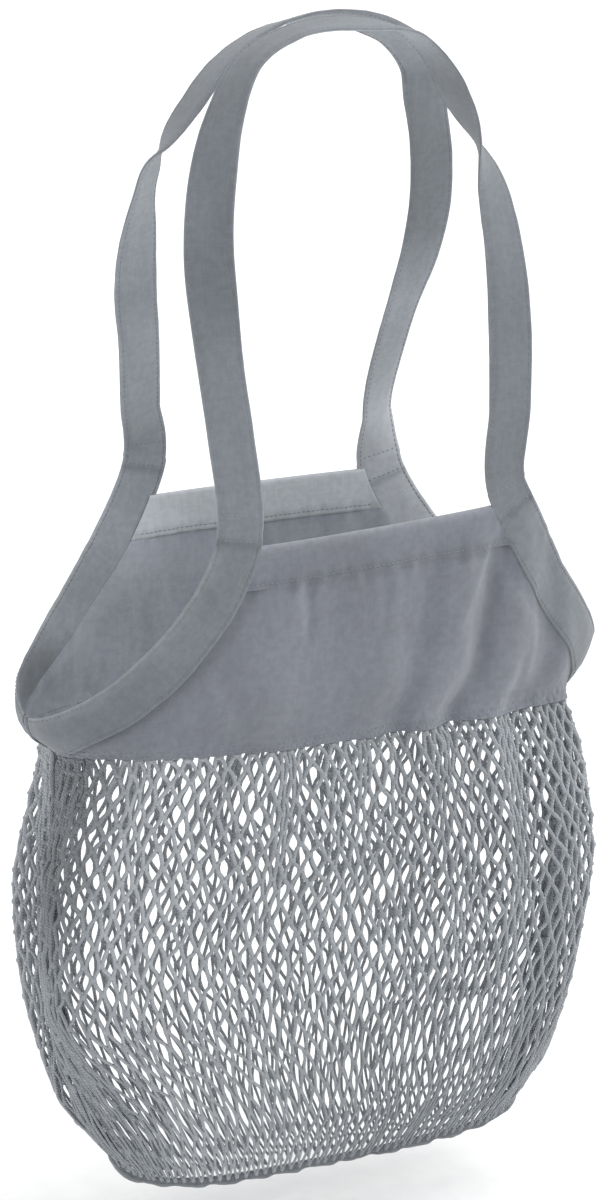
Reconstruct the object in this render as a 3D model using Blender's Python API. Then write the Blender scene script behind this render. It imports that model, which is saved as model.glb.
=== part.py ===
# String shopping bag, hanging by its two handles.
# A cloth top with two long straps, which run down its four side scoops as their
# binding, and below it a knitted net body, seamed at the sides and the bottom.
#
# Metres, +Z up. +X runs along the bag's width and the front faces -Y. The origin
# is the point under the top of both handles where a hook or a hand carries them.

import math

import bpy
import numpy as np

# Driving sizes
HEM_Z = -0.277          # top edge of the cloth, between the straps
HEM_DEPTH = 0.025       # the turned hem at that edge
STRAP_WIDTH = 0.028
STRAP_THICK = 0.0024
CLOTH_THICK = 0.0014
HEM_THICK = 0.0022
NET_THICK = 0.0020
NET_COLUMNS = 7         # whole diamonds across one face of the net
NET_ROWS = 4            # whole diamonds down it
WIDEST = 1.4            # level at which the net is widest
BAR_WIDTH = 0.009       # knotted cord between two gaps of the net
SEAM_THICK = 0.0026     # side and bottom seam, from front to back
SEAM_INSIDE = 0.001     # how far it reaches in from the seam line, and out
SEAM_OUTSIDE = 0.006
SEAM_ROOM = 0.0026      # from the middle plane to either face at the seam
GAP = 0.0003            # from a sewn line to the piece on either side of it
CLOTH_INSET = 0.0012    # side edge of the cloth, from the strap's edge

FRONT, BACK = -1, 1
LEFT, RIGHT = -1, 1

# The bag's two faces are mapped by t, -1 at the left seam to 1 at the right, and
# by level: 0 at the hem, 1 where the cloth ends and the net starts, 2 at the
# bottom seam.
BORDER, BOTTOM = 1.0, 2.0

# Heights of the cloth's lower edge and of the bottom seam
# t, border z, bottom z
EDGES = np.array([
    [-1.00, -0.399, -0.648],
    [-0.75, -0.396, -0.665],
    [-0.40, -0.397, -0.679],
    [0.00, -0.400, -0.6825],
    [0.40, -0.404, -0.682],
    [0.75, -0.4105, -0.675],
    [1.00, -0.418, -0.657],
])

# Cross-sections of the bag. The lobes are the net's bulges beside each seam.
# level, left seam x, right seam x, front depth, back depth, squareness, lobe, skew
SECTIONS = np.array([
    [-0.30, -0.203, 0.162, 0.060, 0.053, 2.5, 0.000, 0.22],
    [0.00, -0.201, 0.162, 0.060, 0.053, 2.5, 0.000, 0.22],
    [0.45, -0.200, 0.160, 0.060, 0.053, 2.5, 0.000, 0.18],
    [0.78, -0.202, 0.156, 0.059, 0.055, 2.5, 0.000, 0.12],
    [0.86, -0.202, 0.150, 0.058, 0.055, 2.5, 0.000, 0.11],
    [0.92, -0.199, 0.142, 0.058, 0.055, 2.5, 0.000, 0.10],
    [1.00, -0.187, 0.139, 0.058, 0.056, 2.4, 0.003, 0.08],
    [1.14, -0.184, 0.140, 0.060, 0.059, 2.2, 0.014, 0.06],
    [1.34, -0.187, 0.142, 0.061, 0.060, 2.1, 0.022, 0.04],
    [1.55, -0.186, 0.136, 0.056, 0.056, 2.1, 0.022, 0.02],
    [1.73, -0.177, 0.131, 0.044, 0.045, 2.1, 0.018, 0.00],
    [1.88, -0.166, 0.125, 0.026, 0.027, 2.1, 0.012, 0.00],
    [2.00, -0.151, 0.116, 0.003, 0.003, 2.0, 0.000, 0.00],
])

# The two sides of the border line, where the cloth ends and the net starts, and
# the level of the hem's stitching
CLOTH_DROP = HEM_Z - EDGES[3, 1]
NET_DROP = EDGES[3, 1] - EDGES[3, 2]
CLOTH_END = BORDER - GAP / CLOTH_DROP
NET_START = BORDER + GAP / NET_DROP
HEM_END = HEM_DEPTH / CLOTH_DROP

# Soft folds of the cloth, which the straps' pull makes
# face, t at the hem, t at the border, half width in t, depth
FOLDS = (
    (FRONT, 0.23, 0.10, 0.050, 0.0040),
    (FRONT, 0.33, 0.30, 0.045, -0.0035),
    (FRONT, 0.44, 0.47, 0.050, 0.0040),
    (FRONT, -0.10, -0.16, 0.060, 0.0020),
    (BACK, -0.25, -0.34, 0.060, -0.0030),
    (BACK, 0.05, 0.02, 0.070, 0.0020),
    (BACK, 0.28, 0.36, 0.050, -0.0030),
)

FOLDS_GROW = 0.5        # level at which a fold has its full depth
FOLDS_END = 1.35        # level at which it has died away in the net
LOBE_START = 0.30       # t at which the net starts to bulge towards the seam

# Scoops at the sides of the cloth: their outer edge leaves the strap at the top
# and reaches the side seam at the low point, on a superellipse.
# face, end, strap's outer edge from the middle, top z, low z, exponent
SCOOPS = {
    (FRONT, LEFT): (0.0955, -0.268, -0.377, 1.42),
    (FRONT, RIGHT): (0.1100, -0.264, -0.387, 1.13),
    (BACK, LEFT): (0.0930, -0.252, -0.376, 1.27),
    (BACK, RIGHT): (0.0820, -0.270, -0.389, 1.30),
}

# Free stretch of each strap, from the left base over the top to the right base.
# Turn is 90 degrees where the strap lies flat to the front or back, and 0 where
# it lies flat over the hook.
# x, y, z, turn
FRONT_ROUTE = np.array([
    [-0.0990, -0.0500, -0.2180, 88],
    [-0.1016, -0.0440, -0.1830, 89],
    [-0.1028, -0.0380, -0.1510, 79],
    [-0.1030, -0.0320, -0.1140, 53],
    [-0.0972, -0.0260, -0.0760, 40],
    [-0.0846, -0.0200, -0.0389, 15],
    [-0.0705, -0.0170, -0.0163, 3],
    [-0.0434, -0.0150, -0.0032, -1],
    [-0.0016, -0.0148, -0.0012, 5],
    [0.0309, -0.0155, -0.0090, -4],
    [0.0502, -0.0175, -0.0295, -8],
    [0.0570, -0.0190, -0.0440, -13],
    [0.0645, -0.0210, -0.0585, -2],
    [0.0779, -0.0260, -0.0970, 58],
    [0.0848, -0.0300, -0.1350, 77],
    [0.0860, -0.0360, -0.1790, 89],
    [0.0831, -0.0420, -0.2230, 87],
])
BACK_ROUTE = np.array([
    [-0.1078, 0.0450, -0.2200, 79],
    [-0.1108, 0.0400, -0.1800, 80],
    [-0.1145, 0.0360, -0.1500, 83],
    [-0.1151, 0.0310, -0.1200, 71],
    [-0.1128, 0.0270, -0.0930, 50],
    [-0.1091, 0.0250, -0.0785, 44],
    [-0.1010, 0.0230, -0.0646, 16],
    [-0.0848, 0.0200, -0.0423, 3],
    [-0.0684, 0.0172, -0.0220, 7],
    [-0.0425, 0.0154, -0.0060, 14],
    [-0.0026, 0.0148, -0.0020, 23],
    [0.0252, 0.0155, -0.0090, 28],
    [0.0455, 0.0170, -0.0205, 30],
    [0.0600, 0.0190, -0.0360, 55],
    [0.0630, 0.0220, -0.0570, 90],
    [0.0685, 0.0250, -0.0920, 92],
    [0.0694, 0.0280, -0.1180, 92],
    [0.0644, 0.0310, -0.1480, 100],
    [0.0561, 0.0350, -0.1760, 111],
    [0.0498, 0.0390, -0.2020, 113],
    [0.0451, 0.0430, -0.2280, 115],
    [0.0456, 0.0470, -0.2480, 117],
])

COLOURS = {
    "cloth": (0.235, 0.252, 0.285, 1.0),
    "strap": (0.225, 0.245, 0.272, 1.0),
    "net": (0.215, 0.232, 0.255, 1.0),
}
ROUGHNESS = 0.9

ROW_LEVELS = np.linspace(-0.30, BOTTOM, 116)
ROW_T = np.linspace(-1.0, 1.0, 241)
SCOOP_POINTS = 400      # along a scoop, before its rows are picked
ROWS_TO_BORDER = 11     # rows of a strap's mesh down its scoop, until its inner
ROWS_TO_SEAM = 4        # edge reaches the border, and from there to the seam
FREE_ROWS = 60          # rows of it between its two bases
SEAM_ROWS = 22          # rows of the seam's mesh down a side, and along the bottom
BASE_BLEND = 0.030      # length over which a strap turns from its base's direction


# Shape of the two faces

def smooth(table, x):
    """The columns of a table, read at x on a smooth curve through its rows."""
    xs, ys = table[:, 0], table[:, 1:]
    x = np.clip(np.asarray(x, float), xs[0], xs[-1])
    slopes = np.gradient(ys, xs, axis=0)
    row = np.clip(np.searchsorted(xs, x, side="right") - 1, 0, len(xs) - 2)
    step = (xs[row + 1] - xs[row])[..., None]
    k = (x - xs[row])[..., None] / step
    value = (
        (2 * k**3 - 3 * k**2 + 1) * ys[row]
        + (k**3 - 2 * k**2 + k) * step * slopes[row]
        + (3 * k**2 - 2 * k**3) * ys[row + 1]
        + (k**3 - k**2) * step * slopes[row + 1]
    )
    return np.moveaxis(value, -1, 0)


def height(t, level):
    border, bottom = smooth(EDGES, t)
    in_cloth = HEM_Z + level * (border - HEM_Z)
    in_net = border + (level - BORDER) * (bottom - border)
    return np.where(level < BORDER, in_cloth, in_net)


def folds(side, t, level):
    """How far the cloth's folds stand out, dying away at the hem and in the net."""
    out = np.zeros_like(t)
    along = np.clip(level, 0.0, BORDER)
    fade = np.clip(level / FOLDS_GROW, 0, 1) * np.clip((FOLDS_END - level) / (FOLDS_END - BORDER), 0, 1)
    for face, at_hem, at_border, half_width, depth in FOLDS:
        if face == side:
            middle = at_hem + along * (at_border - at_hem)
            out += depth * np.exp(-(((t - middle) / half_width) ** 2))
    return out * fade


def surface(side, t, level):
    """A point of the front or back face, in the middle of its thickness."""
    t, level = np.broadcast_arrays(np.asarray(t, float), np.asarray(level, float))
    left, right, front, back, square, lobe, skew = smooth(SECTIONS, level)
    turn = t * math.pi / 2
    across = np.sign(t) * np.abs(np.sin(turn)) ** (2 / square)
    deep = np.maximum(np.cos(turn), 0) ** (2 / square)
    beside_seam = np.clip((np.abs(t) - LOBE_START) / (1 - LOBE_START), 0, 1)
    bulge = lobe * np.sin(math.pi * beside_seam**1.6)
    x = (left + right) / 2 + (right - left) / 2 * across + np.sign(t) * bulge
    depth = front if side == FRONT else back
    y = SEAM_ROOM + depth * (1 - skew * across) * deep + folds(side, t, level) * deep
    return np.stack([x, side * y, height(t, level)], -1)


def unit(vectors):
    return vectors / np.linalg.norm(vectors, axis=-1, keepdims=True)


def outward(side, t, level):
    """The direction that the face looks, one and the same either side of the border."""
    t, level = np.broadcast_arrays(np.asarray(t, float), np.asarray(level, float))
    level = np.where(np.abs(level - BORDER) < 0.02, BORDER, level)
    level = np.clip(level, ROW_LEVELS[0], BOTTOM)
    step = 0.005
    right = surface(side, np.clip(t + step, -1, 1), level) - surface(side, np.clip(t - step, -1, 1), level)
    down = surface(side, t, level + step) - surface(side, t, level - step)
    return unit(side * np.cross(right, down))


def arc_rows(side):
    """For each row level, the length along the face from its middle to each t."""
    rows = []
    for level in ROW_LEVELS:
        points = surface(side, ROW_T, level)
        lengths = np.linalg.norm(np.diff(points, axis=0), axis=1)
        along = np.concatenate([[0.0], np.cumsum(lengths)])
        rows.append(along - along[len(ROW_T) // 2])
    return np.array(rows)


ARCS = {side: arc_rows(side) for side in (FRONT, BACK)}


def t_at(side, level, length):
    """The t that lies a length from the face's middle, along the row at a level."""
    step = ROW_LEVELS[1] - ROW_LEVELS[0]
    place = np.clip((level - ROW_LEVELS[0]) / step, 0, len(ROW_LEVELS) - 1.001)
    row = int(place)
    k = place - row
    arcs = (1 - k) * ARCS[side][row] + k * ARCS[side][row + 1]
    return float(np.interp(length, arcs, ROW_T))


def seam_length(side, end, level):
    """Length along a face from its middle to a side seam."""
    last = -1 if end == RIGHT else 0
    return abs(float(np.interp(level, ROW_LEVELS, ARCS[side][:, last])))


def spread(side, length, z):
    """t and level of a point given on the flat cloth: along from the middle, and height."""
    t = 0.0
    level = 0.0
    for _ in range(4):
        border = float(smooth(EDGES, t)[0])
        level = (z - HEM_Z) / (border - HEM_Z)
        t = t_at(side, level, length)
    return t, level


# Scoops and straps

def scoop(side, end):
    """A strap along its scoop, as rows of (t, level) from the top to the seam.

    Returns the strap's outer and inner edges, and the side edge of the cloth beside
    it down to the border.
    """
    strap, top, low, exponent = SCOOPS[(side, end)]
    seam = seam_length(side, end, scoop_end(side, end))
    angle = np.linspace(0, math.pi / 2, SCOOP_POINTS)
    outer = np.stack([
        seam + (strap - seam) * np.cos(angle) ** (2 / exponent),
        top + (low - top) * np.sin(angle) ** (2 / exponent),
    ], -1)
    lengths = np.concatenate([[0.0], np.cumsum(np.linalg.norm(np.diff(outer, axis=0), axis=1))])
    even = np.linspace(0, lengths[-1], SCOOP_POINTS)
    outer = np.stack([np.interp(even, lengths, outer[:, axis]) for axis in (0, 1)], -1)
    along = unit(np.gradient(outer, axis=0))
    inward = np.stack([along[:, 1], -along[:, 0]], -1)
    inward = soften(inward, first=(-1.0, 0.0), last=(0.0, -1.0))
    maps = []
    for inset in (0.0, STRAP_WIDTH, STRAP_WIDTH + CLOTH_INSET):
        line = outer + inset * inward
        line_map = np.array([spread(side, end * s, z) for s, z in line])
        line_map[:, 1] = np.minimum(line_map[:, 1], CLOTH_END)
        maps.append(line_map)
    outer_map, inner_map, cloth_map = maps
    outer_map[-1, 0] = end
    inner_map[-1] = (end, CLOTH_END)
    touch = int(np.argmax(inner_map[:, 1] >= CLOTH_END))
    rows = np.concatenate([
        np.linspace(0, touch, ROWS_TO_BORDER + 1),
        np.linspace(touch, SCOOP_POINTS - 1, ROWS_TO_SEAM + 1)[1:],
    ]).round().astype(int)
    cloth_touch = int(np.argmax(cloth_map[:, 1] >= CLOTH_END))
    return outer_map[rows], inner_map[rows], cloth_map[: cloth_touch + 1]


def scoop_end(side, end):
    """The level at which a scoop's outer edge meets the side seam."""
    low = SCOOPS[(side, end)][2]
    return (low - HEM_Z) / (float(smooth(EDGES, float(end))[0]) - HEM_Z)


def soften(directions, first, last):
    """Directions averaged with their neighbours, so that a strap rounds a corner."""
    reach = SCOOP_POINTS // 9
    padded = np.concatenate([[first] * reach, directions, [last] * reach])
    window = np.ones(2 * reach + 1) / (2 * reach + 1)
    return unit(np.stack([np.convolve(padded[:, axis], window, "valid") for axis in (0, 1)], -1))


def free_stretch(side, left, route, right):
    """Outer and inner edge and normal of the strap between its two bases.

    left and right are the (outer, middle, inner) points down either scoop.
    """
    centre = np.concatenate([left[1::-1, 1], route[:, :3], right[:2, 1]])
    turns = np.pad(route[:, 3], 2, mode="edge")
    steps = np.linalg.norm(np.diff(centre, axis=0), axis=1)
    distance = np.concatenate([[0.0], np.cumsum(steps)])
    table = np.column_stack([distance, centre, turns])
    start, finish = distance[1], distance[-2]
    place = np.linspace(start, finish, FREE_ROWS + 2)
    x, y, z, turn = smooth(table, place)
    points = np.stack([x, y, z], -1)
    tangent = unit(np.gradient(points, axis=0))
    away = unit(np.cross(tangent, (0.0, 1.0, 0.0)))
    flat = np.cross(away, tangent) * -side
    radians = np.radians(turn)[:, None]
    width = np.cos(radians) * flat + np.sin(radians) * away
    for base, near in ((left[0], place - start), (right[0], finish - place)):
        blend = np.clip(near / BASE_BLEND, 0, 1)[:, None]
        width = unit(width * blend + unit(base[0] - base[2]) * (1 - blend))
    half = width * STRAP_WIDTH / 2
    normal = unit(-side * np.cross(tangent, width))
    return (points + half)[1:-1], (points - half)[1:-1], normal[1:-1]


# Closed walls from grids of points

def make_object(name, points, faces, colour):
    mesh = bpy.data.meshes.new(name)
    mesh.from_pydata([tuple(p) for p in points], [], faces)
    mesh.validate()
    mesh.shade_smooth()
    mesh.set_sharp_from_angle(angle=math.radians(40))
    material = bpy.data.materials.new(name)
    material.use_nodes = True
    shader = material.node_tree.nodes["Principled BSDF"]
    shader.inputs["Base Color"].default_value = COLOURS[colour]
    shader.inputs["Roughness"].default_value = ROUGHNESS
    shader.inputs["Metallic"].default_value = 0.0
    mesh.materials.append(material)
    bag_object = bpy.data.objects.new(name, mesh)
    bpy.context.scene.collection.objects.link(bag_object)
    return bag_object


def wall(name, points, normals, thick, colour, flip=False):
    """A closed wall round a grid of middle points; normals point to its outer face."""
    rows, columns = points.shape[:2]
    outer = (points + normals * thick / 2).reshape(-1, 3)
    inner = (points - normals * thick / 2).reshape(-1, 3)
    shift = rows * columns

    def at(row, column):
        return row * columns + column

    faces = []
    for row in range(rows - 1):
        for column in range(columns - 1):
            ring = (at(row, column), at(row + 1, column), at(row + 1, column + 1), at(row, column + 1))
            faces.append(ring)
            faces.append(tuple(shift + i for i in reversed(ring)))
    border = [at(0, c) for c in range(columns)]
    border += [at(r, columns - 1) for r in range(1, rows)]
    border += [at(rows - 1, c) for c in range(columns - 2, -1, -1)]
    border += [at(r, 0) for r in range(rows - 2, 0, -1)]
    for i, j in zip(border, border[1:] + border[:1]):
        faces.append((i, j, shift + j, shift + i))
    if flip:
        faces = [tuple(reversed(face)) for face in faces]
    return make_object(name, np.concatenate([outer, inner]), faces, colour)


def handle(name, side, route):
    """One strap: up from the left seam along its scoop, over the top and down again.

    Returns the side edges of the cloth that lies between its two scoops.
    """
    bands = []
    edges = []
    for end in (LEFT, RIGHT):
        outer, inner, cloth_edge = scoop(side, end)
        maps = np.stack([outer, (outer + inner) / 2, inner], 1)
        bands.append((surface(side, *maps.T).swapaxes(0, 1), outward(side, *maps.T).swapaxes(0, 1)))
        edges.append(cloth_edge)
    (left_points, left_normals), (right_points, right_normals) = bands
    outer, inner, normal = free_stretch(side, left_points, route, right_points)
    free_points = np.stack([outer, (outer + inner) / 2, inner], 1)
    free_normals = np.repeat(normal[:, None], 3, axis=1)
    points = np.concatenate([left_points[::-1], free_points, right_points])
    normals = np.concatenate([left_normals[::-1], free_normals, right_normals])
    wall(name, points, normals, STRAP_THICK, "strap", flip=side == FRONT)
    return edges


def cloth(name, side, edges, top, bottom, thick, rows, columns):
    """A piece of cloth between the side edges, from one level down to another."""
    down = 1 - (1 - np.linspace(0, 1, rows + 1)) ** 1.5
    level = np.repeat((top + (bottom - top) * down)[:, None], columns + 1, axis=1)
    left, right = (np.interp(level[:, :1], edge[:, 1], edge[:, 0]) for edge in edges)
    t = left + (right - left) * np.linspace(0, 1, columns + 1)
    return wall(name, surface(side, t, level), outward(side, t, level), thick, "cloth", flip=side == BACK)


def net_level(side, share):
    """The level that lies a share of the way down the net, measured on its face."""
    levels = np.linspace(BORDER, BOTTOM, 80)
    steps = np.linalg.norm(np.diff(surface(side, 0.0, levels), axis=0), axis=1)
    down = np.concatenate([[0.0], np.cumsum(steps)])
    return float(np.interp(share * down[-1], down, levels)), down[-1]


def net(name, side):
    """One face of the net: a wall with diamond gaps cut through it, fused at its knots.

    Knots and gap centres are counted in half diamonds, a across and b down.
    """
    wide, tall = 2 * NET_COLUMNS, 2 * NET_ROWS
    drop = net_level(side, 0.0)[1]
    half_wide = seam_length(side, RIGHT, WIDEST) / NET_COLUMNS
    half_tall = drop / tall

    def place(a, b):
        level = max(net_level(side, b / tall)[0], NET_START)
        share = 2 * a / wide - 1
        end = RIGHT if share >= 0 else LEFT
        return t_at(side, level, share * seam_length(side, end, level)), level

    index = {}
    maps = []

    def vertex(a, b):
        key = (round(a, 4), round(b, 4))
        if key not in index:
            index[key] = len(maps)
            maps.append(place(a, b))
        return index[key]

    skin = []
    holes = []
    for b in range(tall + 1):
        for a in range(1 - b % 2, wide + 1, 2):
            corners = [(a, b - 1), (a - 1, b), (a, b + 1), (a + 1, b)]
            corners = [(p, q) for p, q in corners if 0 <= p <= wide and 0 <= q <= tall]
            ring = []
            for (p, q), (r, s) in zip(corners, corners[1:] + corners[:1]):
                ring += [(p, q), ((p + r) / 2, (q + s) / 2)]
            centre, radius = inside(corners, half_wide, half_tall)
            outline = [vertex(p, q) for p, q in ring]
            if a in (0, wide):
                middle = vertex(*centre)
                skin += [(i, j, middle) for i, j in zip(outline, outline[1:] + outline[:1])]
                continue
            keep = 1 - BAR_WIDTH / 2 / radius
            gap = [
                vertex(centre[0] + keep * (p - centre[0]), centre[1] + keep * (q - centre[1]))
                for p, q in ring
            ]
            pairs = list(zip(outline, outline[1:] + outline[:1], gap[1:] + gap[:1], gap))
            skin += pairs
            holes.append(gap)

    maps = np.array(maps)
    points = surface(side, maps[:, 0], maps[:, 1])
    normals = outward(side, maps[:, 0], maps[:, 1])
    count = len(points)
    faces = list(skin) + [tuple(count + i for i in reversed(face)) for face in skin]
    for i, j in open_edges(skin):
        faces.append((j, i, count + i, count + j))
    if side == BACK:
        faces = [tuple(reversed(face)) for face in faces]
    both = np.concatenate([points + normals * NET_THICK / 2, points - normals * NET_THICK / 2])
    return make_object(name, both, faces, "net")


def inside(corners, half_wide, half_tall):
    """Centre and radius of the circle that fits in a diamond or half diamond."""
    real = [(a * half_wide, b * half_tall) for a, b in corners]
    sides = [math.dist(real[(i + 1) % len(real)], real[(i + 2) % len(real)]) for i in range(len(real))]
    if len(corners) == 4:
        centre = (corners[0][0], corners[1][1])
        radius = half_wide * half_tall / math.hypot(half_wide, half_tall)
        return centre, radius
    total = sum(sides)
    centre = tuple(sum(w * c[axis] for w, c in zip(sides, corners)) / total for axis in (0, 1))
    area = abs((real[1][0] - real[0][0]) * (real[2][1] - real[0][1])
               - (real[2][0] - real[0][0]) * (real[1][1] - real[0][1])) / 2
    return centre, 2 * area / total


def open_edges(faces):
    """The directed edges of a skin that no other face shares."""
    edges = {(i, j) for face in faces for i, j in zip(face, face[1:] + face[:1])}
    return [(i, j) for i, j in sorted(edges) if (j, i) not in edges]


def seam(name):
    """The doubled seam down the left side, along the bottom and up the right side."""
    down = [(-1.0, level) for level in np.linspace(scoop_end(FRONT, LEFT), BOTTOM, SEAM_ROWS)]
    along = [(t, BOTTOM) for t in np.linspace(-1, 1, SEAM_ROWS + 2)[1:-1]]
    up = [(1.0, level) for level in np.linspace(BOTTOM, scoop_end(FRONT, RIGHT), SEAM_ROWS)]
    line = np.array([surface(FRONT, t, level) * (1, 0, 1) for t, level in down + along + up])
    tangent = np.gradient(line, axis=0)
    outside = unit(np.cross((0.0, 1.0, 0.0), tangent))
    points = np.stack([line - outside * SEAM_INSIDE, line + outside * SEAM_OUTSIDE], 1)
    normals = np.broadcast_to(np.array([0.0, -1.0, 0.0]), points.shape)
    return wall(name, points, normals, SEAM_THICK, "net", flip=True)


for old in list(bpy.data.objects):
    bpy.data.objects.remove(old, do_unlink=True)

for side, word, route in ((FRONT, "front", FRONT_ROUTE), (BACK, "back", BACK_ROUTE)):
    edges = handle(word + "_handle", side, route)
    cloth(word + "_hem", side, edges, 0.0, HEM_END, HEM_THICK, rows=2, columns=12)
    panel_start = HEM_END + GAP / CLOTH_DROP
    cloth(word + "_panel", side, edges, panel_start, CLOTH_END, CLOTH_THICK, rows=12, columns=20)
    net(word + "_net", side)
seam("side_and_bottom_seam")
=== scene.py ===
import math

import bpy
import mathutils
import numpy as np
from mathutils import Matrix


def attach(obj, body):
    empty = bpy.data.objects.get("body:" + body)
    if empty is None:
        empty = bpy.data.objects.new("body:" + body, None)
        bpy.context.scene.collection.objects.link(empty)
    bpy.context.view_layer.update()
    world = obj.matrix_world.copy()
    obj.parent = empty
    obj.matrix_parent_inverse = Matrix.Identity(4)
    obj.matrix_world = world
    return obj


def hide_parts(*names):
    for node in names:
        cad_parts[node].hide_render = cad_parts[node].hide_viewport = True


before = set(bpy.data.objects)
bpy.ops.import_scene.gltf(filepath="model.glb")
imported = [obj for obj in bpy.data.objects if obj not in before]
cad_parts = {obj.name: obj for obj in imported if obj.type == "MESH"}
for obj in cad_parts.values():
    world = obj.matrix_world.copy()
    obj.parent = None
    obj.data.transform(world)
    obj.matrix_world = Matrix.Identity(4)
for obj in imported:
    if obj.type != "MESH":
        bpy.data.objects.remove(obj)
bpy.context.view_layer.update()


# Cloth panels: the top of the bag, one panel in front and one behind, cut from
# plain-woven dyed cotton with a deep scoop at each side. The net pulls on their lower
# edge and the straps on their corners, which makes the soft folds between them.

FRONT, BACK = -1, 1
LEFT, RIGHT = -1, 1
BORDER, BOTTOM = 1.0, 2.0
HEM_Z = -0.277
HEM_DEPTH = 0.025
STRAP_WIDTH = 0.028
SEAM_ROOM = 0.0026
PANEL_THICK = 0.0012
PANEL_TUCK = 0.004      # how far the cloth goes in under the straps
PUCKER = 0.0004         # height of the little waves of the cloth along its seams
HEM_PUCKERS = 0.0125    # from one of these waves to the next, beside the hem
BINDING_GROOVE = 0.0010 # how far it sinks in beside the straps that bind it
MIDDLE_EDGE = 3         # the row of EDGES in the middle of the bag

# Both faces of the bag are mapped by t, -1 at the left seam to 1 at the right, and by
# level: 0 at the hem, 1 at the border between cloth and net, 2 at the bottom seam.
# t, border z, bottom z
EDGES = np.array([
    [-1.00, -0.399, -0.648],
    [-0.75, -0.396, -0.665],
    [-0.40, -0.397, -0.679],
    [0.00, -0.400, -0.6825],
    [0.40, -0.404, -0.682],
    [0.75, -0.4105, -0.675],
    [1.00, -0.418, -0.657],
])
# level, left seam x, right seam x, front depth, back depth, squareness, lobe, skew
SECTIONS = np.array([
    [-0.30, -0.203, 0.162, 0.060, 0.053, 2.5, 0.000, 0.22],
    [0.00, -0.201, 0.162, 0.060, 0.053, 2.5, 0.000, 0.22],
    [0.45, -0.200, 0.160, 0.060, 0.053, 2.5, 0.000, 0.18],
    [0.78, -0.202, 0.156, 0.059, 0.055, 2.5, 0.000, 0.12],
    [0.86, -0.202, 0.150, 0.058, 0.055, 2.5, 0.000, 0.11],
    [0.92, -0.199, 0.142, 0.058, 0.055, 2.5, 0.000, 0.10],
    [1.00, -0.187, 0.139, 0.058, 0.056, 2.4, 0.003, 0.08],
    [1.14, -0.184, 0.140, 0.060, 0.059, 2.2, 0.014, 0.06],
    [1.34, -0.187, 0.142, 0.061, 0.060, 2.1, 0.022, 0.04],
    [1.55, -0.186, 0.136, 0.056, 0.056, 2.1, 0.022, 0.02],
    [1.73, -0.177, 0.131, 0.044, 0.045, 2.1, 0.018, 0.00],
    [1.88, -0.166, 0.125, 0.026, 0.027, 2.1, 0.012, 0.00],
    [2.00, -0.151, 0.116, 0.003, 0.003, 2.0, 0.000, 0.00],
])
# face, t at the hem, t at the border, half width in t, depth
FOLDS = (
    (FRONT, 0.030, 0.020, 0.030, 0.0018),
    (FRONT, 0.115, 0.070, 0.030, -0.0028),
    (FRONT, 0.215, 0.130, 0.042, 0.0046),
    (FRONT, 0.285, 0.205, 0.030, -0.0040),
    (FRONT, 0.360, 0.330, 0.045, 0.0046),
    (FRONT, 0.450, 0.480, 0.040, -0.0020),
    (FRONT, -0.10, -0.16, 0.060, 0.0020),
    (BACK, -0.25, -0.34, 0.060, -0.0030),
    (BACK, -0.12, -0.16, 0.035, 0.0020),
    (BACK, 0.05, 0.02, 0.070, 0.0020),
    (BACK, 0.16, 0.18, 0.035, 0.0025),
    (BACK, 0.28, 0.36, 0.050, -0.0030),
)
FOLDS_GROW = 0.35       # the level at which they have their whole depth
FOLDS_END = 1.35        # the level, in the net, at which they have died away
LOBE_START = 0.30       # t from which the net bulges out towards its side seam
# face, end: strap's outer edge from the middle, top z, low z, exponent
SCOOPS = {
    (FRONT, LEFT): (0.0955, -0.268, -0.377, 1.42),
    (FRONT, RIGHT): (0.1100, -0.264, -0.387, 1.13),
    (BACK, LEFT): (0.0930, -0.252, -0.376, 1.27),
    (BACK, RIGHT): (0.0820, -0.270, -0.389, 1.30),
}
CLOTH_DROP = HEM_Z - EDGES[MIDDLE_EDGE, 1]
HEM_END = HEM_DEPTH / CLOTH_DROP


def smooth(table, x):
    """The columns of a table, read at x on a smooth curve through its rows."""
    xs, ys = table[:, 0], table[:, 1:]
    x = np.clip(np.asarray(x, float), xs[0], xs[-1])
    slopes = np.gradient(ys, xs, axis=0)
    row = np.clip(np.searchsorted(xs, x, side="right") - 1, 0, len(xs) - 2)
    step = (xs[row + 1] - xs[row])[..., None]
    k = (x - xs[row])[..., None] / step
    value = (
        (2 * k**3 - 3 * k**2 + 1) * ys[row]
        + (k**3 - 2 * k**2 + k) * step * slopes[row]
        + (3 * k**2 - 2 * k**3) * ys[row + 1]
        + (k**3 - k**2) * step * slopes[row + 1]
    )
    return np.moveaxis(value, -1, 0)


def hump(distance, width):
    """1 at the middle of a soft ridge, dying away over a width to either side."""
    return np.exp(-((distance / width) ** 2))


def height(t, level):
    """z of a point of either face."""
    border, bottom = smooth(EDGES, t)
    in_cloth = HEM_Z + level * (border - HEM_Z)
    in_net = border + (level - BORDER) * (bottom - border)
    return np.where(level < BORDER, in_cloth, in_net)


def folds(side, t, level):
    """How far the large folds stand out from a face."""
    out = np.zeros_like(t)
    along = np.clip(level, 0.0, BORDER)
    fade = np.clip(level / FOLDS_GROW, 0, 1)
    fade = fade * np.clip((FOLDS_END - level) / (FOLDS_END - BORDER), 0, 1)
    for face, at_hem, at_border, half_width, depth in FOLDS:
        if face == side:
            middle = at_hem + along * (at_border - at_hem)
            out += depth * hump(t - middle, half_width)
    return out * fade


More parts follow.
